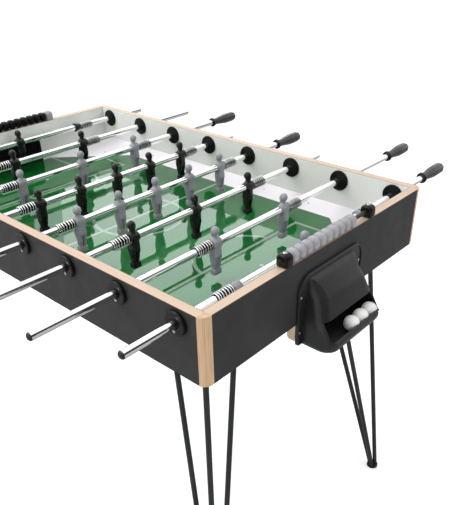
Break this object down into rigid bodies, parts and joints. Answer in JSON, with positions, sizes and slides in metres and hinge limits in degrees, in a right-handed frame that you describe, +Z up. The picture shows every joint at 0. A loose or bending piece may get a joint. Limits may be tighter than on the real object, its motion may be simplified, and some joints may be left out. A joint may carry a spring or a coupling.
{
  "type": "foosball table",
  "caption": "Free-standing foosball table: wooden cabinet on hairpin legs, sliding and turning player rods, sliding bead scorers, an end ball box at each goal.",
  "frame": {"origin": "on the floor under the middle of the cabinet", "axes": "+X along the field towards the near ball box, +Y across the field, +Z up"},
  "size_m": [1.326, 1.367, 0.9382],
  "materials": {
    "panel_core": "pale beech core, satin",
    "corner_oak": "oiled oak, vertical grain",
    "black_laminate": "charcoal laminate, fine satin",
    "pale_laminate": "pale grey glossy laminate",
    "field_print": "green printed board with pale markings",
    "clear_glass": "clear, polished",
    "ramp_white": "off-white, glossy",
    "liner_black": "black",
    "box_black": "black moulded plastic, satin",
    "bearing_black": "black moulded plastic, satin",
    "ball_white": "white, semi-gloss",
    "rod_chrome": "bright chrome plate",
    "spring_steel": "bright spring wire",
    "screw_steel": "zinc plated",
    "grip_black": "charcoal plastic, satin",
    "player_black": "black, satin gloss",
    "player_grey": "grey, satin gloss",
    "scorer_black": "black, satin gloss",
    "scorer_grey": "light grey, satin gloss",
    "leg_black": "black powder coat"
  },
  "bodies": {
    "table": {"side_panel_near": "panel_core", "side_panel_far": "panel_core", "end_panel_near": "panel_core", "end_panel_far": "panel_core", "corner_posts": "corner_oak", "outer_laminate": "black_laminate", "inner_laminate": "pale_laminate", "field_board": "field_print", "field_glass": "clear_glass", "field_ramps": "ramp_white", "goal_liners": "liner_black", "ball_box_near": "box_black", "ball_box_far": "box_black", "outer_bearings": "bearing_black", "inner_bearings": "bearing_black", "bearing_screws": "screw_steel", "score_rods": "leg_black", "score_blocks_near": "scorer_black", "score_blocks_far": "scorer_grey", "leg_near_left": "leg_black", "leg_near_right": "leg_black", "leg_far_left": "leg_black", "leg_far_right": "leg_black", "box_and_score_screws": "screw_steel", "leg_screws": "screw_steel"},
    "springs_1": {"springs_1": "spring_steel"},
    "row_1": {"rod_1": "rod_chrome", "players_1": "player_black", "grip_1": "grip_black"},
    "springs_2": {"springs_2": "spring_steel"},
    "row_2": {"rod_2": "rod_chrome", "players_2": "player_black", "grip_2": "grip_black"},
    "springs_3": {"springs_3": "spring_steel"},
    "row_3": {"rod_3": "rod_chrome", "players_3": "player_grey", "grip_3": "grip_black"},
    "springs_4": {"springs_4": "spring_steel"},
    "row_4": {"rod_4": "rod_chrome", "players_4": "player_black", "grip_4": "grip_black"},
    "springs_5": {"springs_5": "spring_steel"},
    "row_5": {"rod_5": "rod_chrome", "players_5": "player_grey", "grip_5": "grip_black"},
    "springs_6": {"springs_6": "spring_steel"},
    "row_6": {"rod_6": "rod_chrome", "players_6": "player_black", "grip_6": "grip_black"},
    "springs_7": {"springs_7": "spring_steel"},
    "row_7": {"rod_7": "rod_chrome", "players_7": "player_grey", "grip_7": "grip_black"},
    "springs_8": {"springs_8": "spring_steel"},
    "row_8": {"rod_8": "rod_chrome", "players_8": "player_grey", "grip_8": "grip_black"},
    "beads_near": {"score_beads_near": "scorer_grey"},
    "beads_far": {"score_beads_far": "scorer_black"},
    "loose_balls": {"balls": "ball_white"}
  },
  "joints": [
    {"name": "row_1_slide", "type": "slide", "parent": "table", "child": "springs_1", "axis": [0, 1, 0], "range_m": [-0.066, 0.064]},
    {"name": "row_1_spin", "type": "hinge", "parent": "springs_1", "child": "row_1", "pos_m": [-0.525, 0, 0.881], "axis": [0, 1, 0], "range_deg": [-205, 55]},
    {"name": "row_2_slide", "type": "slide", "parent": "table", "child": "springs_2", "axis": [0, 1, 0], "range_m": [-0.159, 0.151]},
    {"name": "row_2_spin", "type": "hinge", "parent": "springs_2", "child": "row_2", "pos_m": [-0.375, 0, 0.881], "axis": [0, 1, 0], "continuous": true},
    {"name": "row_3_slide", "type": "slide", "parent": "table", "child": "springs_3", "axis": [0, 1, 0], "range_m": [-0.086, 0.08]},
    {"name": "row_3_spin", "type": "hinge", "parent": "springs_3", "child": "row_3", "pos_m": [-0.225, 0, 0.881], "axis": [0, 1, 0], "continuous": true},
    {"name": "row_4_slide", "type": "slide", "parent": "table", "child": "springs_4", "axis": [0, 1, 0], "range_m": [-0.04, 0.04]},
    {"name": "row_4_spin", "type": "hinge", "parent": "springs_4", "child": "row_4", "pos_m": [-0.075, 0, 0.881], "axis": [0, 1, 0], "continuous": true},
    {"name": "row_5_slide", "type": "slide", "parent": "table", "child": "springs_5", "axis": [0, 1, 0], "range_m": [-0.039, 0.041]},
    {"name": "row_5_spin", "type": "hinge", "parent": "springs_5", "child": "row_5", "pos_m": [0.075, 0, 0.881], "axis": [0, 1, 0], "continuous": true},
    {"name": "row_6_slide", "type": "slide", "parent": "table", "child": "springs_6", "axis": [0, 1, 0], "range_m": [-0.065, 0.101]},
    {"name": "row_6_spin", "type": "hinge", "parent": "springs_6", "child": "row_6", "pos_m": [0.225, 0, 0.881], "axis": [0, 1, 0], "continuous": true},
    {"name": "row_7_slide", "type": "slide", "parent": "table", "child": "springs_7", "axis": [0, 1, 0], "range_m": [-0.156, 0.154]},
    {"name": "row_7_spin", "type": "hinge", "parent": "springs_7", "child": "row_7", "pos_m": [0.375, 0, 0.881], "axis": [0, 1, 0], "continuous": true},
    {"name": "row_8_slide", "type": "slide", "parent": "table", "child": "springs_8", "axis": [0, 1, 0], "range_m": [-0.052, 0.078]},
    {"name": "row_8_spin", "type": "hinge", "parent": "springs_8", "child": "row_8", "pos_m": [0.525, 0, 0.881], "axis": [0, 1, 0], "range_deg": [-55, 205]},
    {"name": "beads_near_slide", "type": "slide", "parent": "table", "child": "beads_near", "axis": [0, 1, 0], "range_m": [0, 0.0472]},
    {"name": "beads_far_slide", "type": "slide", "parent": "table", "child": "beads_far", "axis": [0, 1, 0], "range_m": [-0.0472, 0]},
    {"name": "balls_roll", "type": "slide", "parent": "table", "child": "loose_balls", "axis": [0, 1, 0], "range_m": [-0.0836, 0]}
  ]
}
